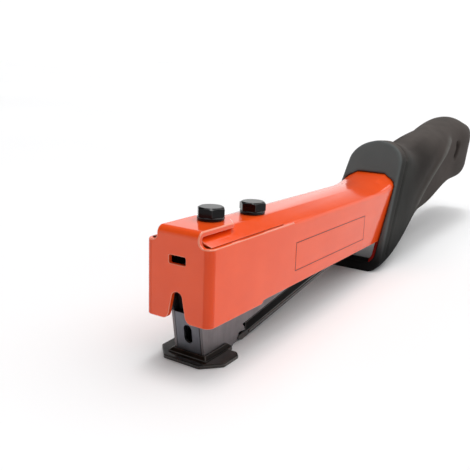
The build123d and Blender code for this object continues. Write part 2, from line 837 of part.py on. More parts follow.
pieces = {
    "body_shell": body_shell(),
    "head_bolts": head_bolts(),
    "spring_washers": spring_washers(),
    "driver_block": driver_block(),
    "driver_blade": driver_blade(),
    "blade_screws": blade_screws(),
    "pivot_pin": pivot_pin(),
    "pivot_spacers": pivot_spacers(),
    "spring_cup": spring_cup(),
    "return_spring": return_spring(),
    "guard_tabs": guard_tabs(),
    "grip_sleeve": grip_sleeve(),
    "handle_core": handle_core(),
    "rear_block": rear_block(),
    "core_rivets": core_rivets(),
    "magazine_carrier": magazine_carrier(),
    "nose_front_plate": nose_front_plate(),
    "foot_plate": foot_plate(),
    "magazine_tray": magazine_tray(),
    "staple_rail": staple_rail(),
    "guide_rod": guide_rod(),
    "spring_stop": spring_stop(),
    "pusher": pusher(),
    "pusher_spring": pusher_spring(),
}

os.makedirs("parts", exist_ok=True)
stand = Rot(0, stance, 0) * Pos(-strike_x, 0, 0)
for name, shape in pieces.items():
    if isinstance(shape, list):
        shape = Compound([solid for piece in shape for solid in piece.solids()])
    export_step(stand * shape, f"parts/{name}.step")
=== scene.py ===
import json
import math

import bmesh
import bpy
import numpy as np
from mathutils import Matrix, Vector

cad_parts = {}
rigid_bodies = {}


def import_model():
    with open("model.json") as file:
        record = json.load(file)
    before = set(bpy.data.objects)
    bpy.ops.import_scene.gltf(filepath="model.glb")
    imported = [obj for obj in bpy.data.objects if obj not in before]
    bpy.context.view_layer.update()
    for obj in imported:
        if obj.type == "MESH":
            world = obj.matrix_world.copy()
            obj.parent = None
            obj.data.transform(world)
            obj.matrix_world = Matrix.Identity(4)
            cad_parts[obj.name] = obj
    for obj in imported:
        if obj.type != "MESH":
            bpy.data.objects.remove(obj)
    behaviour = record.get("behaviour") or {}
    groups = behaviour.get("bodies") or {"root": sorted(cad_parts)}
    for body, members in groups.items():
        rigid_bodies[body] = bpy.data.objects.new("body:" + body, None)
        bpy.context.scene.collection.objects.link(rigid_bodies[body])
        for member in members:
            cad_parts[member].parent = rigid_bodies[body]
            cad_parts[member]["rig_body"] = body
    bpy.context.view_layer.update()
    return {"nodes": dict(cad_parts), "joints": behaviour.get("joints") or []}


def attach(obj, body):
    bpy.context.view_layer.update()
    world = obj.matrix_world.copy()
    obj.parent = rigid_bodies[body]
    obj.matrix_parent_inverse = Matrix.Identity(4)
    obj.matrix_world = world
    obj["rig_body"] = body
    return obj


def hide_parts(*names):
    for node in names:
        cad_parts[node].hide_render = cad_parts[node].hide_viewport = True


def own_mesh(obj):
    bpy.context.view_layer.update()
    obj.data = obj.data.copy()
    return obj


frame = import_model()

MM = 0.001

# The tool's own frame: millimetres, body level, x from the body's front face, z from the striking face
STANCE = math.radians(2.0)
STRIKE_X = 5.6677
BODY_TOP = 51.0
HALF_WIDTH = 15.0

# The magazine's own frame: millimetres from the pivot, tilted as the magazine stands at rest
PIVOT = (172.0, 32.0)
TILT = math.radians(9.2)


def turned(x, y, z):
    """A direction of the tool's frame in the part's frame."""
    rearward = x * math.cos(STANCE) + z * math.sin(STANCE)
    upward = z * math.cos(STANCE) - x * math.sin(STANCE)
    return Vector((rearward, y, upward))


def placed(x, y, z):
    """A point of the tool's frame, in millimetres, in the part's frame, in metres."""
    return turned(x - STRIKE_X, y, z) * MM


def tool_coords(points):
    """Points in metres as x, y, z arrays of the tool's frame in millimetres, z from the body's top."""
    p = points / MM
    x = p[:, 0] * math.cos(STANCE) - p[:, 2] * math.sin(STANCE) + STRIKE_X
    z = p[:, 0] * math.sin(STANCE) + p[:, 2] * math.cos(STANCE) - BODY_TOP
    return x, p[:, 1], z


def tool_point(point):
    """One point in metres in the tool's frame, z from the body's top."""
    return tuple(float(values[0]) for values in tool_coords(np.array([point])))


def magazine_coords(point):
    """A point in metres in the magazine's own frame."""
    x, y, z = tool_point(point)
    dx, dz = x - PIVOT[0], z + BODY_TOP - PIVOT[1]
    return dx * math.cos(TILT) + dz * math.sin(TILT), y, dz * math.cos(TILT) - dx * math.sin(TILT)


def from_magazine(x, y, z):
    """A point of the magazine's own frame in the part's frame, in metres."""
    dx = x * math.cos(TILT) - z * math.sin(TILT)
    dz = x * math.sin(TILT) + z * math.cos(TILT)
    return placed(PIVOT[0] + dx, y, PIVOT[1] + dz)


# Materials

# Most of a noise texture's values lie in the first span; lacquer and ink start to lighten later
NOISE_SPAN = (0.3, 0.7)
LACQUER_SPAN = (0.35, 0.72)
INK_SPAN = (0.35, 0.75)

# Added to the roughness of a lacquer and of a steel where it is dullest
LACQUER_DULLING = 0.1
STEEL_DULLING = 0.16

# Sockets of a mix node: its share, its two colours, and the colour that comes out
MIX_INPUTS = (0, 6, 7)
MIX_OUTPUT = 2


def dotted(tree, vector, direction):
    """A node's output: how far a vector goes along a direction."""
    node = tree.nodes.new("ShaderNodeVectorMath")
    node.operation = "DOT_PRODUCT"
    node.inputs[1].default_value = direction
    tree.links.new(vector, node.inputs[0])
    return node.outputs["Value"]


def stepped(tree, value, start, end, low=0.0, high=1.0):
    """A node's output: a smooth step from low to high as a value goes from start to end."""
    node = tree.nodes.new("ShaderNodeMapRange")
    node.interpolation_type = "SMOOTHSTEP"
    for name, number in (("From Min", start), ("From Max", end), ("To Min", low), ("To Max", high)):
        node.inputs[name].default_value = number
    tree.links.new(value, node.inputs["Value"])
    return node.outputs["Result"]


class Maker:
    """A node material under construction."""

    def __init__(self, name):
        self.material = bpy.data.materials.new(name)
        self.material.use_nodes = True
        self.tree = self.material.node_tree
        self.shader = self.tree.nodes["Principled BSDF"]
        self.coords = self.tree.nodes.new("ShaderNodeTexCoord").outputs["Object"]

    def set(self, **values):
        """Sets constants on the shader's own sockets."""
        for name, value in values.items():
            self.shader.inputs[name.replace("_", " ")].default_value = value

    def link(self, output, name):
        """Feeds one of the shader's sockets from a node."""
        self.tree.links.new(output, self.shader.inputs[name])

    def stretched(self, scale):
        """Coordinates drawn out along an axis."""
        node = self.tree.nodes.new("ShaderNodeMapping")
        node.inputs["Scale"].default_value = scale
        self.tree.links.new(self.coords, node.inputs["Vector"])
        return node.outputs["Vector"]

    def noise(self, scale, detail=3.0, stretch=None):
        """A noise texture's value, drawn out along an axis if a stretch is given."""
        node = self.tree.nodes.new("ShaderNodeTexNoise")
        node.inputs["Scale"].default_value = scale
        node.inputs["Detail"].default_value = detail
        self.tree.links.new(self.stretched(stretch) if stretch else self.coords, node.inputs["Vector"])
        return node.outputs["Fac"]

    def tint(self, value, deep, light, span=NOISE_SPAN):
        """From a deep to a light colour as a value runs over its span."""
        node = self.tree.nodes.new("ShaderNodeValToRGB")
        for element, place, colour in zip(node.color_ramp.elements, span, (deep, light)):
            element.position = place
            element.color = (*colour, 1.0)
        self.tree.links.new(value, node.inputs["Fac"])
        return node.outputs["Color"]

    def between(self, value, low, high):
        """From one number to another as a noise value runs over its span."""
        node = self.tree.nodes.new("ShaderNodeMapRange")
        node.inputs["From Min"].default_value = NOISE_SPAN[0]
        node.inputs["From Max"].default_value = NOISE_SPAN[1]
        node.inputs["To Min"].default_value = low
        node.inputs["To Max"].default_value = high
        self.tree.links.new(value, node.inputs["Value"])
        return node.outputs["Result"]

    def run(self, direction, start, end):
        """From 0 to 1 between two places along a direction, in metres."""
        return stepped(self.tree, dotted(self.tree, self.coords, direction), start, end)

    def facing(self, direction, start, end):
        """From 0 to 1 as the surface turns to face a direction."""
        normal = self.tree.nodes.new("ShaderNodeNewGeometry").outputs["Normal"]
        return stepped(self.tree, dotted(self.tree, normal, direction), start, end)

    def attribute(self, name):
        """A number stored on the mesh."""
        node = self.tree.nodes.new("ShaderNodeAttribute")
        node.attribute_name = name
        return node.outputs["Fac"]

    def mix(self, share, a, b):
        """Blends two colour outputs by a share."""
        node = self.tree.nodes.new("ShaderNodeMix")
        node.data_type = "RGBA"
        for output, place in zip((share, a, b), MIX_INPUTS):
            self.tree.links.new(output, node.inputs[place])
        return node.outputs[MIX_OUTPUT]

    def bump(self, value, height, strength, below=None):
        """Raises the surface by a value, height in metres, over another bump if one is given."""
        node = self.tree.nodes.new("ShaderNodeBump")
        node.inputs["Distance"].default_value = height
        node.inputs["Strength"].default_value = strength
        self.tree.links.new(value, node.inputs["Height"])
        if below:
            self.tree.links.new(below, node.inputs["Normal"])
        return node.outputs["Normal"]


def enamel(name, deep, light, gloss=0.5):
    """Glossy powder coat: slow colour drift, faint orange peel, and fine dusty specks in the gloss."""
    make = Maker(name)
    make.link(make.tint(make.noise(scale=60, detail=4), deep, light), "Base Color")
    make.link(make.between(make.noise(scale=500, detail=2), low=0.09, high=0.15), "Roughness")
    make.link(make.bump(make.noise(scale=260, detail=2), height=0.02 * MM, strength=0.35), "Normal")
    make.set(IOR=1.62, Specular_IOR_Level=gloss)
    return make.material


def lacquer(name, deep, light, rough, gloss=0.5):
    """Black finish with faint runs and a brownish tint in its lighter patches."""
    make = Maker(name)
    make.link(make.tint(make.noise(scale=180, detail=4), deep, light, LACQUER_SPAN), "Base Color")
    dulled = rough + LACQUER_DULLING
    make.link(make.between(make.noise(scale=350), low=rough, high=dulled), "Roughness")
    make.link(make.bump(make.noise(scale=300), height=0.05 * MM, strength=0.5), "Normal")
    make.set(Specular_IOR_Level=gloss)
    return make.material


def steel(name, deep, light, rough, grain):
    """Bare steel: fine lines along its rolling direction and cloudy dulling."""
    make = Maker(name)
    lines = make.noise(scale=900, stretch=grain)
    make.link(make.tint(make.noise(scale=140, detail=5), deep, light), "Base Color")
    make.link(make.between(lines, low=rough, high=rough + STEEL_DULLING), "Roughness")
    make.link(make.bump(lines, height=0.012 * MM, strength=0.5), "Normal")
    make.set(Metallic=1.0)
    return make.material


# Deep and light tone of each area of the grip's rubber
SLEEVE_TONES = ((0.038, 0.038, 0.036), (0.050, 0.049, 0.046))
REAR_TONES = ((0.050, 0.042, 0.038), (0.068, 0.057, 0.052))
TOP_LIGHT_TONES = ((0.072, 0.063, 0.058), (0.098, 0.085, 0.078))
RIM_TONES = ((0.096, 0.104, 0.103), (0.116, 0.125, 0.124))
PAINTED_HIGHLIGHT_TONES = ((0.115, 0.110, 0.103), (0.150, 0.144, 0.136))
UPPER_SHADE_TONES = ((0.016, 0.013, 0.012), (0.026, 0.022, 0.020))
UNDERSIDE_SHADE_TONES = ((0.006, 0.006, 0.006), (0.010, 0.010, 0.010))

# Where one tone passes into the next: metres rearward, share of facing up, and metres above the floor
REAR_FADE = (0.19, 0.25)
TOP_LIGHT_FADE = (0.25, 1.0)
UNDERSIDE_SHADE_FADE = (0.004, 0.022)

# Shares of painted highlight and of painted shade, stored on the grip's mesh
PAINTED_HIGHLIGHT = "painted_highlight"
UPPER_SHADE = "upper_shade"

# The grip's rim leans back; the sleeve's tone, with its painted light on top, gives way to the rim's over
# the first millimetres behind it
RIM_LEAN = 0.57
RIM_PLACE = 174.6
RIM_NORMAL = turned(1.0, 0.0, -RIM_LEAN)
RIM_FADE = [placed(RIM_PLACE + behind, 0.0, BODY_TOP).dot(RIM_NORMAL) for behind in (0.3, 3.0)]


def rubber(name):
    """Matte moulded rubber: cool rim, dark sleeve that warms to the rear, painted light on top, painted
    highlights on the ridge and the hole's wall, painted shade above the ridge and near the floor, fine
    grain.
    """
    make = Maker(name)
    cloud = make.noise(scale=30)
    sleeve = make.tint(cloud, *SLEEVE_TONES)
    rear = make.tint(cloud, *REAR_TONES)
    top_light = make.tint(make.noise(scale=90, detail=4), *TOP_LIGHT_TONES)
    rim = make.tint(cloud, *RIM_TONES)
    painted_highlight = make.tint(make.noise(scale=120), *PAINTED_HIGHLIGHT_TONES)
    upper_shade = make.tint(cloud, *UPPER_SHADE_TONES)
    underside_shade = make.tint(make.noise(scale=60, detail=2), *UNDERSIDE_SHADE_TONES)
    tone = make.mix(make.run((1, 0, 0), *REAR_FADE), sleeve, rear)
    # Lighter on faces that turn up: painted light from above
    tone = make.mix(make.facing((0, 0, 1), *TOP_LIGHT_FADE), tone, top_light)
    tone = make.mix(make.run(RIM_NORMAL, *RIM_FADE), rim, tone)
    # Lighter along the ridge's crest and on the lanyard hole's rear wall: painted highlight
    tone = make.mix(make.attribute(PAINTED_HIGHLIGHT), tone, painted_highlight)
    # Darker further above the ridge: painted shade
    tone = make.mix(make.attribute(UPPER_SHADE), tone, upper_shade)
    # Near black close to the floor: painted shade under the grip and in its hoop
    make.link(make.mix(make.run((0, 0, 1), *UNDERSIDE_SHADE_FADE), underside_shade, tone), "Base Color")
    make.link(make.between(make.noise(scale=45, detail=4), low=0.74, high=0.9), "Roughness")
    fine = make.bump(make.noise(scale=2600, detail=2), height=0.04 * MM, strength=0.4)
    grain = make.bump(make.noise(scale=700, detail=2), height=0.06 * MM, strength=0.3, below=fine)
    make.link(grain, "Normal")
    make.set(Specular_IOR_Level=0.06)
    return make.material


# Deep and light tone of the label's line
INK_TONES = ((0.14, 0.034, 0.022), (0.26, 0.060, 0.042))


def ink(name):
    """Screen-printed line ink, slightly broken."""
    make = Maker(name)
    make.link(make.tint(make.noise(scale=900, detail=4), *INK_TONES, INK_SPAN), "Base Color")
    make.link(make.between(make.noise(scale=400), low=0.4, high=0.55), "Roughness")
    make.set(Specular_IOR_Level=0.15)
    return make.material


# Rolling direction of a steel: the grain is drawn out along the axis with the small share
UPRIGHT_GRAIN = (1, 1, 0.12)
LENGTHWISE_GRAIN = (0.12, 1, 1)
EVEN_GRAIN = (1, 1, 1)

PAINT = enamel("red_orange_enamel", (0.86, 0.076, 0.007), (0.92, 0.090, 0.010), 0.42)
# Darker, duller enamel for the front's bends and the strip along the grip's rim: painted shade
PAINT_SHADE = enamel("red_orange_enamel_painted_shade", (0.76, 0.062, 0.006), (0.82, 0.074, 0.008), 0.22)
# Much darker enamel for the guard tabs inside the hoop: painted shade
PAINT_TAB_SHADE = enamel("red_orange_enamel_tab_painted_shade", (0.20, 0.010, 0.008), (0.27, 0.015, 0.010), 0.1)
# Paler enamel for the rounded edges: painted highlight where the rounding catches the light
PAINT_EDGE_HIGHLIGHT = enamel("enamel_edge_highlight", (0.86, 0.20, 0.10), (0.92, 0.32, 0.20))
BOLT_BLACK = lacquer("blackened_bolt", (0.002, 0.002, 0.0025), (0.004, 0.003, 0.004), 0.06, 0.16)
# Paler lacquer for the rounded edges of the bolts and washers: painted highlight
BOLT_EDGE_HIGHLIGHT = lacquer("blackened_bolt_edge_highlight", (0.006, 0.006, 0.007), (0.02, 0.02, 0.022), 0.1)
# The gloss black's lighter patches are brown: a painted reflection
GLOSS_BLACK = lacquer("gloss_black_lacquer", (0.005, 0.003, 0.002), (0.022, 0.011, 0.006), 0.06, 0.7)
# Paler lacquer for the rounded edges of the foot and the tray: painted highlight
GLOSS_EDGE_HIGHLIGHT = lacquer("gloss_black_edge_highlight", (0.012, 0.010, 0.009), (0.05, 0.042, 0.036), 0.12)
# Darker, dull copy of the tray's lacquer for its upper band: painted shade
TRAY_SHADE_BLACK = lacquer("tray_black_lacquer_painted_shade", (0.0006, 0.0006, 0.0006), (0.0016, 0.0015, 0.0015), 0.3, 0.03)
BEAD_BLACK = lacquer("weld_bead_black", (0.004, 0.003, 0.002), (0.016, 0.010, 0.007), 0.3, 0.05)
# Near-black steel for the driver and the front plate's seams, and painted shade on the carrier's cheeks
# and tab
BLACK_STEEL_AND_SHADE = lacquer("black_steel_and_painted_shade", (0.003, 0.003, 0.003), (0.010, 0.009, 0.008), 0.35, 0.25)
SATIN = steel("satin_steel", (0.15, 0.15, 0.168), (0.205, 0.205, 0.225), 0.36, UPRIGHT_GRAIN)
WARM_SATIN = steel("satin_steel_folded", (0.185, 0.168, 0.174), (0.245, 0.222, 0.228), 0.36, UPRIGHT_GRAIN)
# Paler steel for rounded edges and the front plate's slot walls: painted highlight
SATIN_EDGE_HIGHLIGHT = steel("satin_steel_edge_highlight", (0.40, 0.40, 0.42), (0.54, 0.54, 0.56), 0.3, UPRIGHT_GRAIN)
BRIGHT = steel("bright_steel", (0.42, 0.42, 0.43), (0.55, 0.55, 0.56), 0.28, LENGTHWISE_GRAIN)
SPRING = steel("spring_steel", (0.30, 0.30, 0.31), (0.44, 0.44, 0.45), 0.3, EVEN_GRAIN)
RUBBER = rubber("grip_rubber")
INK = ink("label_ink")


# Pieces made from the CAD nodes

# Faces that meet at less than the first angle are shaded as one; outer edges past the second are rounded
SMOOTH_ANGLE = math.radians(28)
BROKEN_ANGLE = math.radians(35)

# Faces that meet at less than this angle are merged; points this close are joined, or lie on a cut
FLAT_ANGLE = math.radians(0.6)
WELD = 0.002 * MM
CUT_WELD = 0.001 * MM

# Points this close to a line, in millimetres, are on it
NEAR = 0.06

# A piece's second material goes on its rounded edges, and its third on chosen faces
EDGE_INDEX = 1
THIRD_INDEX = 2


def linked(name, mesh):
    """A new object in the scene."""
    piece = bpy.data.objects.new(name, mesh)
    bpy.context.scene.collection.objects.link(piece)
    return piece


def finished(piece, node, slot, *materials):
    """Gives a piece its materials and body, and hides the node that it stands for; the slot is not used.
    """
    piece.data.materials.clear()
    for material in materials:
        piece.data.materials.append(material)
    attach(piece, frame["nodes"][node]["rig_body"])
    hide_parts(node)


def mark_edges(work, edges):
    """Marks the real edges sharp, and gives the outer ones a share of the piece's roll.

    The share is 1 where edges is true, or what it gives for an edge where it is a function.
    """
    weight = work.edges.layers.float.new("bevel_weight_edge") if edges else None
    for edge in work.edges:
        angle = edge.calc_face_angle(0.0)
        edge.smooth = angle < SMOOTH_ANGLE
        if edges:
            broken = edge.is_convex and angle > BROKEN_ANGLE
            share = edges(edge) if broken and callable(edges) else 1.0
            edge[weight] = share if broken else 0.0


def clean_copy(node, name, edges=True, cut=None):
    """A copy of a node with its flat areas merged and its real edges sharp.

    It is also cut along a plane if one is given, by a point and a direction.
    """
    mesh = frame["nodes"][node].data.copy()
    mesh.name = name
    work = bmesh.new()
    work.from_mesh(mesh)
    bmesh.ops.remove_doubles(work, verts=work.verts, dist=WELD)
    bmesh.ops.dissolve_limit(work, angle_limit=FLAT_ANGLE, verts=work.verts, edges=work.edges)
    if cut:
        place, normal = cut
        whole = work.verts[:] + work.edges[:] + work.faces[:]
        bmesh.ops.bisect_plane(work, geom=whole, dist=CUT_WELD, plane_co=place, plane_no=normal)
    for face in work.faces:
        face.smooth = True
        face.material_index = 0
    mark_edges(work, edges)
    work.to_mesh(mesh)
    work.free()
    if mesh.has_custom_normals:
        mesh.attributes.remove(mesh.attributes["custom_normal"])
    return linked(name, mesh)


def broken_edges(piece, width):
    """Rounds a piece's marked edges; the narrow new faces take its second material."""
    bevel = piece.modifiers.new("edges", "BEVEL")
    bevel.width = width * MM
    bevel.segments = 2
    bevel.limit_method = "WEIGHT"
    bevel.use_clamp_overlap = False
    bevel.harden_normals = True
    bevel.material = EDGE_INDEX


def dress(node, slot, width, *materials, edges=True, cut=None):
    """A copy of a node with rounded edges and its finish."""
    piece = clean_copy(node, node + "_finish", edges, cut)
    finished(piece, node, slot, *materials)
    broken_edges(piece, width)
    return piece


def repaint(piece, frame_of, chosen):
    """Gives a piece's third material to the faces whose middle, in the given frame, is chosen."""
    for face in piece.data.polygons:
        if chosen(*frame_of(face.center)):
            face.material_index = THIRD_INDEX


# Painted body: x in the tool's frame, heights from the body's top

# Width of the rolled edge along slit and flap, of the shell's other edges, and of tabs and washers
HEAD_ROLL = 0.55
SHELL_ROLL = 0.25
TAB_ROLL = 0.2
WASHER_ROLL = 0.5

# Radius of the front's bends, the slit's lower line and rear, the flap's top, and just inside its side
FRONT_BEND = 3.0
SLIT_LINE = -3.4
SLIT_REAR = 52.9
FLAP_TOP = 2.15
FLAP_SIDE = 9.0

# Strip of the walls along the grip's rim, and how deep a face may lie to count as a wall
RIM_STRIP = 5.0
WALL_DEPTH = 0.2


def on_head_roll(point):
    """True on the line that runs along a wall's slit, round the flap's root and round the flap."""
    x, y, z = tool_point(point)
    y = abs(y)
    if abs(z - SLIT_LINE) < NEAR and x < SLIT_REAR:
        corner = math.hypot(FRONT_BEND - x, y - HALF_WIDTH + FRONT_BEND)
        on_wall = y > HALF_WIDTH - NEAR
        on_bend = x < FRONT_BEND and corner > FRONT_BEND - NEAR
        on_front = x < NEAR and y > FLAP_SIDE
        return on_wall or on_bend or on_front
    if x < FRONT_BEND and z > FLAP_TOP - FRONT_BEND:
        return math.hypot(FRONT_BEND - x, z - FLAP_TOP + FRONT_BEND) > FRONT_BEND - NEAR
    return z > FLAP_TOP - NEAR or x < NEAR and z > SLIT_LINE - NEAR


def shell_edge(edge):
    """Share of the widest roll that an edge of the shell gets."""
    return 1.0 if all(on_head_roll(vert.co) for vert in edge.verts) else SHELL_ROLL / HEAD_ROLL


def bend_or_rim(x, y, z):
    """The two upright bends of the front, and the strip of the walls along the grip's rim, which get
    painted shade.
    """
    on_bend = x < FRONT_BEND and abs(y) > HALF_WIDTH - FRONT_BEND and z < SLIT_LINE
    behind_strip_line = x - RIM_PLACE - RIM_LEAN * z > -RIM_STRIP
    return on_bend or behind_strip_line and abs(y) > HALF_WIDTH - WALL_DEPTH


def body():
    """The shell, cut along the strip at the rim, its tabs, and the bolts' washers."""
    strip_line = (placed(RIM_PLACE - RIM_STRIP, 0.0, BODY_TOP), RIM_NORMAL)
    paints = (PAINT, PAINT_EDGE_HIGHLIGHT, PAINT_SHADE)
    shell = dress("body_shell", "red_enamel", HEAD_ROLL, *paints, edges=shell_edge, cut=strip_line)
    # The bends and the rim strip take the darker enamel: painted shade
    repaint(shell, tool_point, bend_or_rim)
    # The guard tabs take the much darker enamel on faces and edges: painted shade
    dress("guard_tabs", "red_enamel", TAB_ROLL, PAINT_TAB_SHADE, PAINT_TAB_SHADE)
    dress("spring_washers", "black_oxide", WASHER_ROLL, BOLT_BLACK, BOLT_EDGE_HIGHLIGHT)


body()


# Nose, foot and magazine

# Widths of the rolled edges
PLATE_ROLL = 0.3
FOLD_ROLL = 0.15
FOOT_ROLL = 0.3
TRAY_ROLL = 0.2

# In the magazine's frame: the nose's front, rear and top
NOSE_FRONT = -166.0
NOSE_REAR = -160.0
NOSE_TOP = 14.1

# The front plate's slot is nearer to the middle than this, and its walls are deeper than this
SLOT_REACH = 2.2
SLOT_DEPTH = 0.05

# Faces of the carrier above and behind this get near-black steel: painted shade
SHADE_HEIGHT = 13.0
SHADE_FRONT = -163.6

# Front of the cheeks: where its points are, and how far they are drawn forward, at the root less
CHEEK_SPAN = (-164.0, -161.0)
CHEEK_REACH = 3.2
CHEEK_ROOT_REACH = 2.4

# The bead's slopes and top lie higher than this above the striking face, the foot's other faces lower
BEAD_HEIGHT = 2.4

# The tray is glossy below this line, which is above the hems along its sides; above it is a darker, dull
# lacquer: painted shade
TRAY_SHEEN = -5.7


def seam_side(edge):
    """The front plate's outer edges, which are dark seams; the rim of its slot stays crisp."""
    return float(all(abs(magazine_coords(vert.co)[1]) > SLOT_REACH for vert in edge.verts))


def slot_wall(x, y, z):
    """The walls of the front plate's slot, and what lies behind them near the middle."""
    return abs(y) < SLOT_REACH and x > NOSE_FRONT + SLOT_DEPTH


def behind_nose(edge):
    """The carrier's edges, apart from the upright seams of its nose."""
    return float(not all(magazine_coords(vert.co)[0] < NOSE_REAR for vert in edge.verts))


def cheek_or_tab(x, y, z):
    """The narrow faces of the carrier's cheeks, and the stop tab at its tail, which get painted shade."""
    return z > SHADE_HEIGHT and x > SHADE_FRONT


def foot_bead(x, y, z):
    """The slopes and the top of the bead that joins the foot to the nose."""
    return z > BEAD_HEIGHT - BODY_TOP


def tray_gloss(x, y, z):
    """The tray's lower band, with its hems."""
    return z < TRAY_SHEEN


def nose():
    """The front plate, the folded carrier with its cheeks drawn forward to the plate, and the foot."""
    plate = dress("nose_front_plate", "satin_steel", PLATE_ROLL, SATIN, BLACK_STEEL_AND_SHADE, SATIN_EDGE_HIGHLIGHT, edges=seam_side)
    repaint(plate, magazine_coords, slot_wall)
    steels = (WARM_SATIN, SATIN_EDGE_HIGHLIGHT, BLACK_STEEL_AND_SHADE)
    carrier = dress("magazine_carrier", "satin_steel", FOLD_ROLL, *steels, edges=behind_nose)
    # The cheeks and the tab take the near-black steel: painted shade
    repaint(carrier, magazine_coords, cheek_or_tab)
    forward = turned(-math.cos(TILT), 0.0, -math.sin(TILT))
    for vert in carrier.data.vertices:
        x, _, z = magazine_coords(vert.co)
        if z > NOSE_TOP - NEAR and CHEEK_SPAN[0] < x < CHEEK_SPAN[1]:
            reach = CHEEK_REACH if z > NOSE_TOP + NEAR else CHEEK_ROOT_REACH
            vert.co += forward * reach * MM
    foot = dress("foot_plate", "black_lacquer", FOOT_ROLL, GLOSS_BLACK, GLOSS_EDGE_HIGHLIGHT, BEAD_BLACK)
    repaint(foot, tool_point, foot_bead)


def magazine():
    """The tray, the rail that the staples straddle, and their pusher."""
    sheen_line = (from_magazine(0.0, 0.0, TRAY_SHEEN), turned(-math.sin(TILT), 0.0, math.cos(TILT)))
    # The tray's upper band takes the darker, dull lacquer: painted shade
    blacks = (TRAY_SHADE_BLACK, GLOSS_EDGE_HIGHLIGHT, GLOSS_BLACK)
    tray = dress("magazine_tray", "black_lacquer", TRAY_ROLL, *blacks, cut=sheen_line)
    repaint(tray, magazine_coords, tray_gloss)
    dress("staple_rail", "satin_steel", FOLD_ROLL, SATIN, SATIN_EDGE_HIGHLIGHT)
    dress("pusher", "satin_steel", FOLD_ROLL, SATIN, SATIN_EDGE_HIGHLIGHT)


nose()
magazine()


# Inner pieces

INNER_FINISH = {
    BLACK_STEEL_AND_SHADE: ("driver_block", "driver_blade"),
    BOLT_BLACK: ("blade_screws",),
    BRIGHT: (
        "pivot_pin", "pivot_spacers", "spring_cup", "handle_core",
        "rear_block", "core_rivets", "guide_rod", "spring_stop",
    ),
}


def inner_pieces():
    """Gives the hidden nodes their steel."""
    for material, nodes in INNER_FINISH.items():
        for node in nodes:
            shown = frame["nodes"][node]
            shown.data.materials.clear()
            shown.data.materials.append(material)


inner_pieces()


# Bolts with turned heads

# Place along the body, height under the head, and direction in degrees that one of the flats faces
BOLTS = ((20.2, 54.75, 10.0), (49.9, 52.6, 15.0))

# Half across flats, height of the head, radius and chamfer of its crown, radius and end of the shank
BOLT_FLAT = 5.0
BOLT_HEAD = 3.6
BOLT_CROWN = 4.5
BOLT_CHAMFER = math.radians(30)
BOLT_SHANK = 3.0
BOLT_END = 37.0

# Width of the rolled edges, steps round a bolt, and the angle between its flats
BOLT_ROLL = 0.12
BOLT_STEPS = 96
HEX_STEP = math.radians(60)


def bolt_profile(angle, under):
    """Radius and height of a bolt's corners, from the shank's end to the crown.

    The angle goes round the bolt from the middle of a flat.
    """
    across = BOLT_FLAT / math.cos((angle + HEX_STEP / 2) % HEX_STEP - HEX_STEP / 2)
    top = under + BOLT_HEAD
    shoulder = top - (across - BOLT_CROWN) * math.tan(BOLT_CHAMFER)
    shank = [(BOLT_SHANK, BOLT_END), (BOLT_SHANK, under)]
    return shank + [(across, under), (across, shoulder), (BOLT_CROWN, top)]


def bolts():
    """Two hex bolts: the turned chamfer dips in an arc over each flat."""
    work = bmesh.new()
    for place, under, turn in BOLTS:
        columns = []
        for k in range(BOLT_STEPS):
            angle = 2 * math.pi * k / BOLT_STEPS
            around = angle + math.radians(turn)
            column = []
            for radius, height in bolt_profile(angle, under):
                spot = placed(place + radius * math.cos(around), radius * math.sin(around), height)
                column.append(work.verts.new(spot))
            columns.append(column)
        rings = list(zip(*columns))
        for low, high in zip(rings, rings[1:]):
            for k in range(BOLT_STEPS):
                following = (k + 1) % BOLT_STEPS
                work.faces.new((low[k], low[following], high[following], high[k]))
        work.faces.new(rings[-1])
        work.faces.new(list(reversed(rings[0])))
    bmesh.ops.recalc_face_normals(work, faces=work.faces)
    for face in work.faces:
        face.smooth = True
    mark_edges(work, True)
    mesh = bpy.data.meshes.new("head_bolts_finish")
    work.to_mesh(mesh)
    work.free()
    piece = linked("head_bolts_finish", mesh)
    finished(piece, "head_bolts", "black_oxide", BOLT_BLACK, BOLT_EDGE_HIGHLIGHT)
    broken_edges(piece, BOLT_ROLL)


bolts()


# Springs

# Share of its length that each spring keeps at the end of its joint's range
RETURN_KEEP = 0.5
PUSHER_KEEP = 0.145


def springs():
    """Two wire springs, copied from their nodes, with their steel."""
    slide = Vector(next(entry["axis"] for entry in frame["joints"] if entry["name"] == "feed"))
    for node, joint, axis, keep in (
        ("return_spring", "strike", (0, 0, 1), RETURN_KEEP),
        ("pusher_spring", "feed", slide, PUSHER_KEEP),
    ):
        spring = clean_copy(node, node + "_wire", edges=False)
        finished(spring, node, "spring_steel", SPRING)
        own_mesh(spring)


springs()


# Rubber grip: x in the tool's frame, heights from the body's top

# Step of the skin's grid
VOXEL = 0.75 * MM

# Rounds of smoothing over the whole skin, whose second pass undoes the first one's shrinking
SKIN_ROUNDS = 14
SKIN_PASSES = (0.6, -0.61)

# More rounds at the far end
END_ROUNDS = 3
END_PASSES = (0.5, 0.5)
END_SOFTENED = (326.0, 336.0)

# How far the skin has to turn sideways to carry the ridge and its scoop
SIDEWAYS = (0.15, 0.5)

# Side ridge: its rear and front end, and the band round it that gets a finer mesh
RIDGE = ((276.0, 17.0), (221.0, -17.4))
RIDGE_BAND = 4.0
RIDGE_MARGIN = 0.15
RIDGE_SIDE = 9.0

# Height, width and fade at the ends, as a share of the ridge's length, of the crest and of its painted
# highlight
CREST = (0.95, 1.5, 0.06)
CREST_HIGHLIGHT = (0.9, 1.5, 0.08)

# Scoop above the ridge: depth, distance from the ridge, width and fade at the ends
SCOOP = (0.7, 6.0, 5.0, 0.2)

# Painted shade further above the ridge: strength, distance and width, place along the ridge and spread
UPPER_SHADE_STRENGTH = 0.8
UPPER_SHADE_ABOVE = (21.0, 13.0)
UPPER_SHADE_ALONG = (0.8, 0.42)

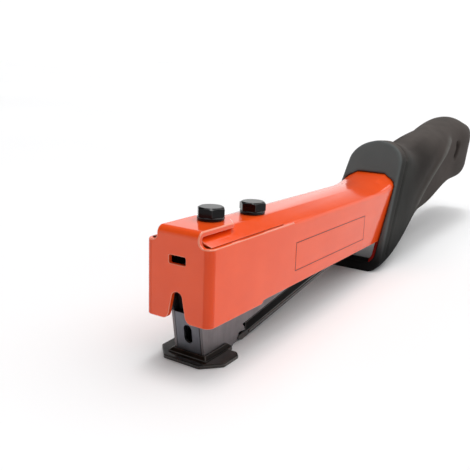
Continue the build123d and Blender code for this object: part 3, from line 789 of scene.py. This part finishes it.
# Oblong lanyard hole: its middle, and half its width and height
LANYARD = (292.0, 10.0)
LANYARD_HALF = (2.5, 5.0)

# Its sunk mouth: depth, width, and the distances from the middle plane over which it deepens
MOUTH_DEPTH = 1.1
MOUTH_WIDTH = 1.8
MOUTH_SIDE = (11.0, 15.0)

# Its rear wall, which faces forward, gets a painted highlight: how near the outline, how far it faces, and
# how much
HOLE_WALL = 0.6
HOLE_FACING = -0.3
HOLE_HIGHLIGHT = 0.7

# The far end narrows, drops a little at the top and has squarer shoulders
END_TAPER = (318.0, 336.0)
END_NARROWING = 0.09
END_DROP = 1.5
END_DROP_HEIGHTS = (10.0, 28.0)
END_MIDDLE = 10.0
END_SHOULDER = 2.2
SHOULDER_LEAN = math.radians(50)
SHOULDER_SPREAD = math.radians(20)


def bell(value, width):
    """One at nothing, falling away on both sides."""
    return np.exp(-((value / width) ** 2))


def sloped(value, start, end):
    """From 0 to 1 in a straight line between two values."""
    return np.clip((value - start) / (end - start), 0, 1)


def eased(value, start, end):
    """From 0 to 1 with soft ends between two values."""
    share = sloped(value, start, end)
    return share * share * (3 - 2 * share)


def along(x, z, line):
    """Share along a line in the side view, and the distance above it."""
    (x0, z0), (x1, z1) = line
    dx, dz = x1 - x0, z1 - z0
    length = math.hypot(dx, dz)
    share = ((x - x0) * dx + (z - z0) * dz) / length**2
    above = ((x - x0) * dz - (z - z0) * dx) / length
    return share, above


def window(share, soft):
    """One inside 0 to 1, falling to nothing over the soft margin beyond."""
    outside = np.maximum(np.maximum(-share, share - 1), 0)
    return bell(outside, soft)


def read(mesh, what):
    """The places or normals of a mesh's points."""
    values = np.zeros(len(mesh.vertices) * 3)
    mesh.vertices.foreach_get(what, values)
    return values.reshape(-1, 3)


def relaxed(mesh, points, rounds, passes):
    """Points drawn towards the middle of their neighbours, or away from it, by each pass's share."""
    pairs = np.zeros(len(mesh.edges) * 2, dtype=np.int64)
    mesh.edges.foreach_get("vertices", pairs)
    pairs = pairs.reshape(-1, 2)
    degree = np.bincount(pairs.ravel(), minlength=len(points))[:, None]
    for factor in passes * rounds:
        total = np.zeros_like(points)
        np.add.at(total, pairs[:, 0], points[pairs[:, 1]])
        np.add.at(total, pairs[:, 1], points[pairs[:, 0]])
        points = points + factor * (total / degree - points)
    return points


def skinned(piece):
    """Gives a piece an even voxel skin, relaxed to rounded edges, and returns its mesh."""
    remesh = piece.modifiers.new("skin", "REMESH")
    remesh.mode = "VOXEL"
    remesh.voxel_size = VOXEL
    bpy.context.view_layer.update()
    shown = piece.evaluated_get(bpy.context.evaluated_depsgraph_get())
    mesh = bpy.data.meshes.new_from_object(shown)
    piece.modifiers.clear()
    piece.data = mesh
    points = relaxed(mesh, read(mesh, "co"), SKIN_ROUNDS, SKIN_PASSES)
    softer = relaxed(mesh, points, END_ROUNDS, END_PASSES)
    points += (softer - points) * eased(tool_coords(points)[0], *END_SOFTENED)[:, None]
    mesh.vertices.foreach_set("co", points.ravel())
    mesh.update()
    return mesh


def refine_ridge(mesh):
    """Halves the edges near the ridge, so that its crest is crisp."""
    x, y, z = tool_coords(read(mesh, "co"))
    share, above = along(x, z, RIDGE)
    near = (np.abs(above) < RIDGE_BAND) & (np.abs(y) > RIDGE_SIDE)
    near &= (share > -RIDGE_MARGIN) & (share < 1 + RIDGE_MARGIN)
    work = bmesh.new()
    work.from_mesh(mesh)
    work.verts.ensure_lookup_table()
    fine = [edge for edge in work.edges if all(near[vert.index] for vert in edge.verts)]
    bmesh.ops.subdivide_edges(work, edges=fine, cuts=1, use_grid_fill=True)
    work.to_mesh(mesh)
    work.free()


def ridge_relief(x, z):
    """Height of the ridge and its scoop in millimetres, and the shares of painted highlight and of painted
    shade.
    """
    share, above = along(x, z, RIDGE)
    height, width, fade = CREST
    crest = height * bell(above, width) * window(share, fade)
    depth, middle, width, fade = SCOOP
    scoop = depth * bell(above - middle, width) * window(share, fade)
    strength, width, fade = CREST_HIGHLIGHT
    painted_highlight = strength * bell(above, width) * window(share, fade)
    middle, width = UPPER_SHADE_ABOVE
    place, spread = UPPER_SHADE_ALONG
    upper_shade = UPPER_SHADE_STRENGTH * bell(above - middle, width) * bell(share - place, spread)
    return crest - scoop, painted_highlight, upper_shade


def outside_lanyard(x, z):
    """Distance outside the outline of the lanyard hole, negative inside it."""
    half_width, half_height = LANYARD_HALF
    beyond = np.maximum(np.abs(z - LANYARD[1]) - (half_height - half_width), 0)
    return np.hypot(x - LANYARD[0], beyond) - half_width


def taper_end(points, x, y, z):
    """Narrows the grip's far end, squares its shoulders and drops its top."""
    taper = eased(x, *END_TAPER)
    points[:, 1] *= 1 - END_NARROWING * taper
    lean = np.arctan2(z - END_MIDDLE, np.abs(y))
    shoulder = END_SHOULDER * taper * bell(lean - SHOULDER_LEAN, SHOULDER_SPREAD) * MM
    points[:, 1] += np.sign(y) * np.cos(lean) * shoulder
    points[:, 2] += np.sin(lean) * shoulder
    points[:, 2] -= END_DROP * taper * sloped(z, *END_DROP_HEIGHTS) * MM


def grip():
    """The sleeve's skin with the side ridge, the scoops, the hole's sunk mouth and the tapered end."""
    piece = clean_copy("grip_sleeve", "grip_rubber_sleeve", edges=False)
    mesh = skinned(piece)
    refine_ridge(mesh)
    points = read(mesh, "co")
    normals = read(mesh, "normal")
    x, y, z = tool_coords(points)
    outward = sloped(normals[:, 1] * np.sign(y), *SIDEWAYS)
    relief, painted_highlight, upper_shade = (values * outward for values in ridge_relief(x, z))
    points += normals * relief[:, None] * MM
    mouth = outside_lanyard(x, z)
    sunk = MOUTH_DEPTH * bell(np.maximum(mouth, 0), MOUTH_WIDTH) * sloped(np.abs(y), *MOUTH_SIDE)
    points[:, 1] -= np.sign(y) * sunk * MM
    wall = (mouth < HOLE_WALL) & (np.abs(y) > MOUTH_SIDE[0]) & (normals[:, 0] < HOLE_FACING)
    painted_highlight = np.maximum(painted_highlight, HOLE_HIGHLIGHT * wall)
    taper_end(points, x, y, z)
    for name, values in ((PAINTED_HIGHLIGHT, painted_highlight), (UPPER_SHADE, upper_shade)):
        mesh.attributes.new(name, "FLOAT", "POINT").data.foreach_set("value", values)
    mesh.vertices.foreach_set("co", points.ravel())
    for polygon in mesh.polygons:
        polygon.use_smooth = True
    mesh.update()
    finished(piece, "grip_sleeve", "grip_rubber", RUBBER)


grip()


# Printed outline of the bare label

# Along the body, above the striking face, width of the line, and how far the ink's middle stands off
LABEL_X = (62.5, 136.5)
LABEL_Z = (25.6, 38.4)
LINE = 0.35
PROUD = 0.03


def label():
    """Thin printed rectangle on the near side."""
    work = bmesh.new()
    y = -HALF_WIDTH - PROUD

    def ring(inset):
        """Corners of the rectangle, drawn in by an inset."""
        front, rear = LABEL_X[0] + inset, LABEL_X[1] - inset
        low, high = LABEL_Z[0] + inset, LABEL_Z[1] - inset
        corners = ((front, low), (rear, low), (rear, high), (front, high))
        return [work.verts.new(placed(x, y, z)) for x, z in corners]

    outer, inner = ring(0.0), ring(LINE)
    for i in range(4):
        j = (i + 1) % 4
        work.faces.new((outer[i], outer[j], inner[j], inner[i]))
    bmesh.ops.recalc_face_normals(work, faces=work.faces)
    mesh = bpy.data.meshes.new("label_outline")
    work.to_mesh(mesh)
    work.free()
    piece = linked("label_outline", mesh)
    film = piece.modifiers.new("film", "SOLIDIFY")
    film.thickness = 2 * PROUD * MM
    film.offset = 0
    piece.data.materials.append(INK)
    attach(piece, "body")


label()


# Stage

# Half the floor's width in metres, and its deep and light tone
FLOOR_HALF = 8.0
FLOOR_TONES = ((0.89, 0.89, 0.895), (0.91, 0.91, 0.915))

# The studio is bright round the horizon and dark overhead: sine of the height, and strength
SKY_HEIGHTS = (0.25, 0.5)
SKY_STRENGTHS = (1.08, 0.13)

# It is dimmer in front of the tool than behind it
SKY_REARWARD = (0.97, 0.24, 0.0)
SKY_SHARES = (0.5, 1.0)

# Name, strength, spread in degrees and direction of each lamp
LAMPS = (
    ("overhead_softlight", 2.35, 90, (-0.3, 0.2, -1.0)),
    ("key_light", 0.8, 16, (-0.2, -0.1, -1.0)),
)


def floor():
    """Plain pale floor."""
    make = Maker("pale_floor")
    make.link(make.tint(make.noise(scale=3, detail=2), *FLOOR_TONES), "Base Color")
    make.set(Roughness=0.6)
    signs = ((-1, -1), (1, -1), (1, 1), (-1, 1))
    corners = [(FLOOR_HALF * across, FLOOR_HALF * back, 0) for across, back in signs]
    mesh = bpy.data.meshes.new("floor")
    mesh.from_pydata(corners, [], [(0, 1, 2, 3)])
    mesh.materials.append(make.material)
    linked("floor", mesh)


def sky():
    """Soft white surroundings."""
    world = bpy.data.worlds.new("studio")
    bpy.context.scene.world = world
    world.use_nodes = True
    tree = world.node_tree
    direction = tree.nodes.new("ShaderNodeTexCoord").outputs["Generated"]
    height = stepped(tree, dotted(tree, direction, (0.0, 0.0, 1.0)), *SKY_HEIGHTS, *SKY_STRENGTHS)
    rearward = stepped(tree, dotted(tree, direction, SKY_REARWARD), -1.0, 1.0, *SKY_SHARES)
    strength = tree.nodes.new("ShaderNodeMath")
    strength.operation = "MULTIPLY"
    tree.links.new(height, strength.inputs[0])
    tree.links.new(rearward, strength.inputs[1])
    background = tree.nodes["Background"]
    background.inputs["Color"].default_value = (1.0, 1.0, 1.0, 1.0)
    tree.links.new(strength.outputs["Value"], background.inputs["Strength"])


def lamps():
    """Soft light from above and a narrower key light."""
    for name, energy, spread, direction in LAMPS:
        data = bpy.data.lights.new(name, "SUN")
        data.energy = energy
        data.angle = math.radians(spread)
        lamp = linked(name, data)
        lamp.rotation_euler = Vector(direction).to_track_quat("-Z", "Y").to_euler()


floor()
sky()
lamps()


# Camera at the photograph's place: angles in the tool's frame, eye in its millimetres

YAW = 0.583034
PITCH = -0.2410295
ROLL = 0.035086
EYE = (-176.166, -140.806, 106.770)
FOCAL_PX = 649.4
FRAME_PX = 470.0
SENSOR = 36.0
CLIP_START = 0.01


def camera():
    """The camera, turned by yaw and pitch and then rolled about its line of sight."""
    data = bpy.data.cameras.new("camera")
    data.sensor_width = SENSOR
    data.lens = FOCAL_PX / FRAME_PX * SENSOR
    data.clip_start = CLIP_START
    view = linked("camera", data)
    forward = turned(math.cos(PITCH) * math.cos(YAW), math.cos(PITCH) * math.sin(YAW), math.sin(PITCH))
    level = turned(math.sin(YAW), -math.cos(YAW), 0.0)
    upright = level.cross(forward)
    right = level * math.cos(ROLL) + upright * math.sin(ROLL)
    up = upright * math.cos(ROLL) - level * math.sin(ROLL)
    turn = Matrix((right, up, -forward)).transposed().to_4x4()
    view.matrix_world = Matrix.Translation(placed(*EYE)) @ turn
    bpy.context.scene.camera = view


camera()
bpy.context.scene.view_settings.view_transform = "Standard"
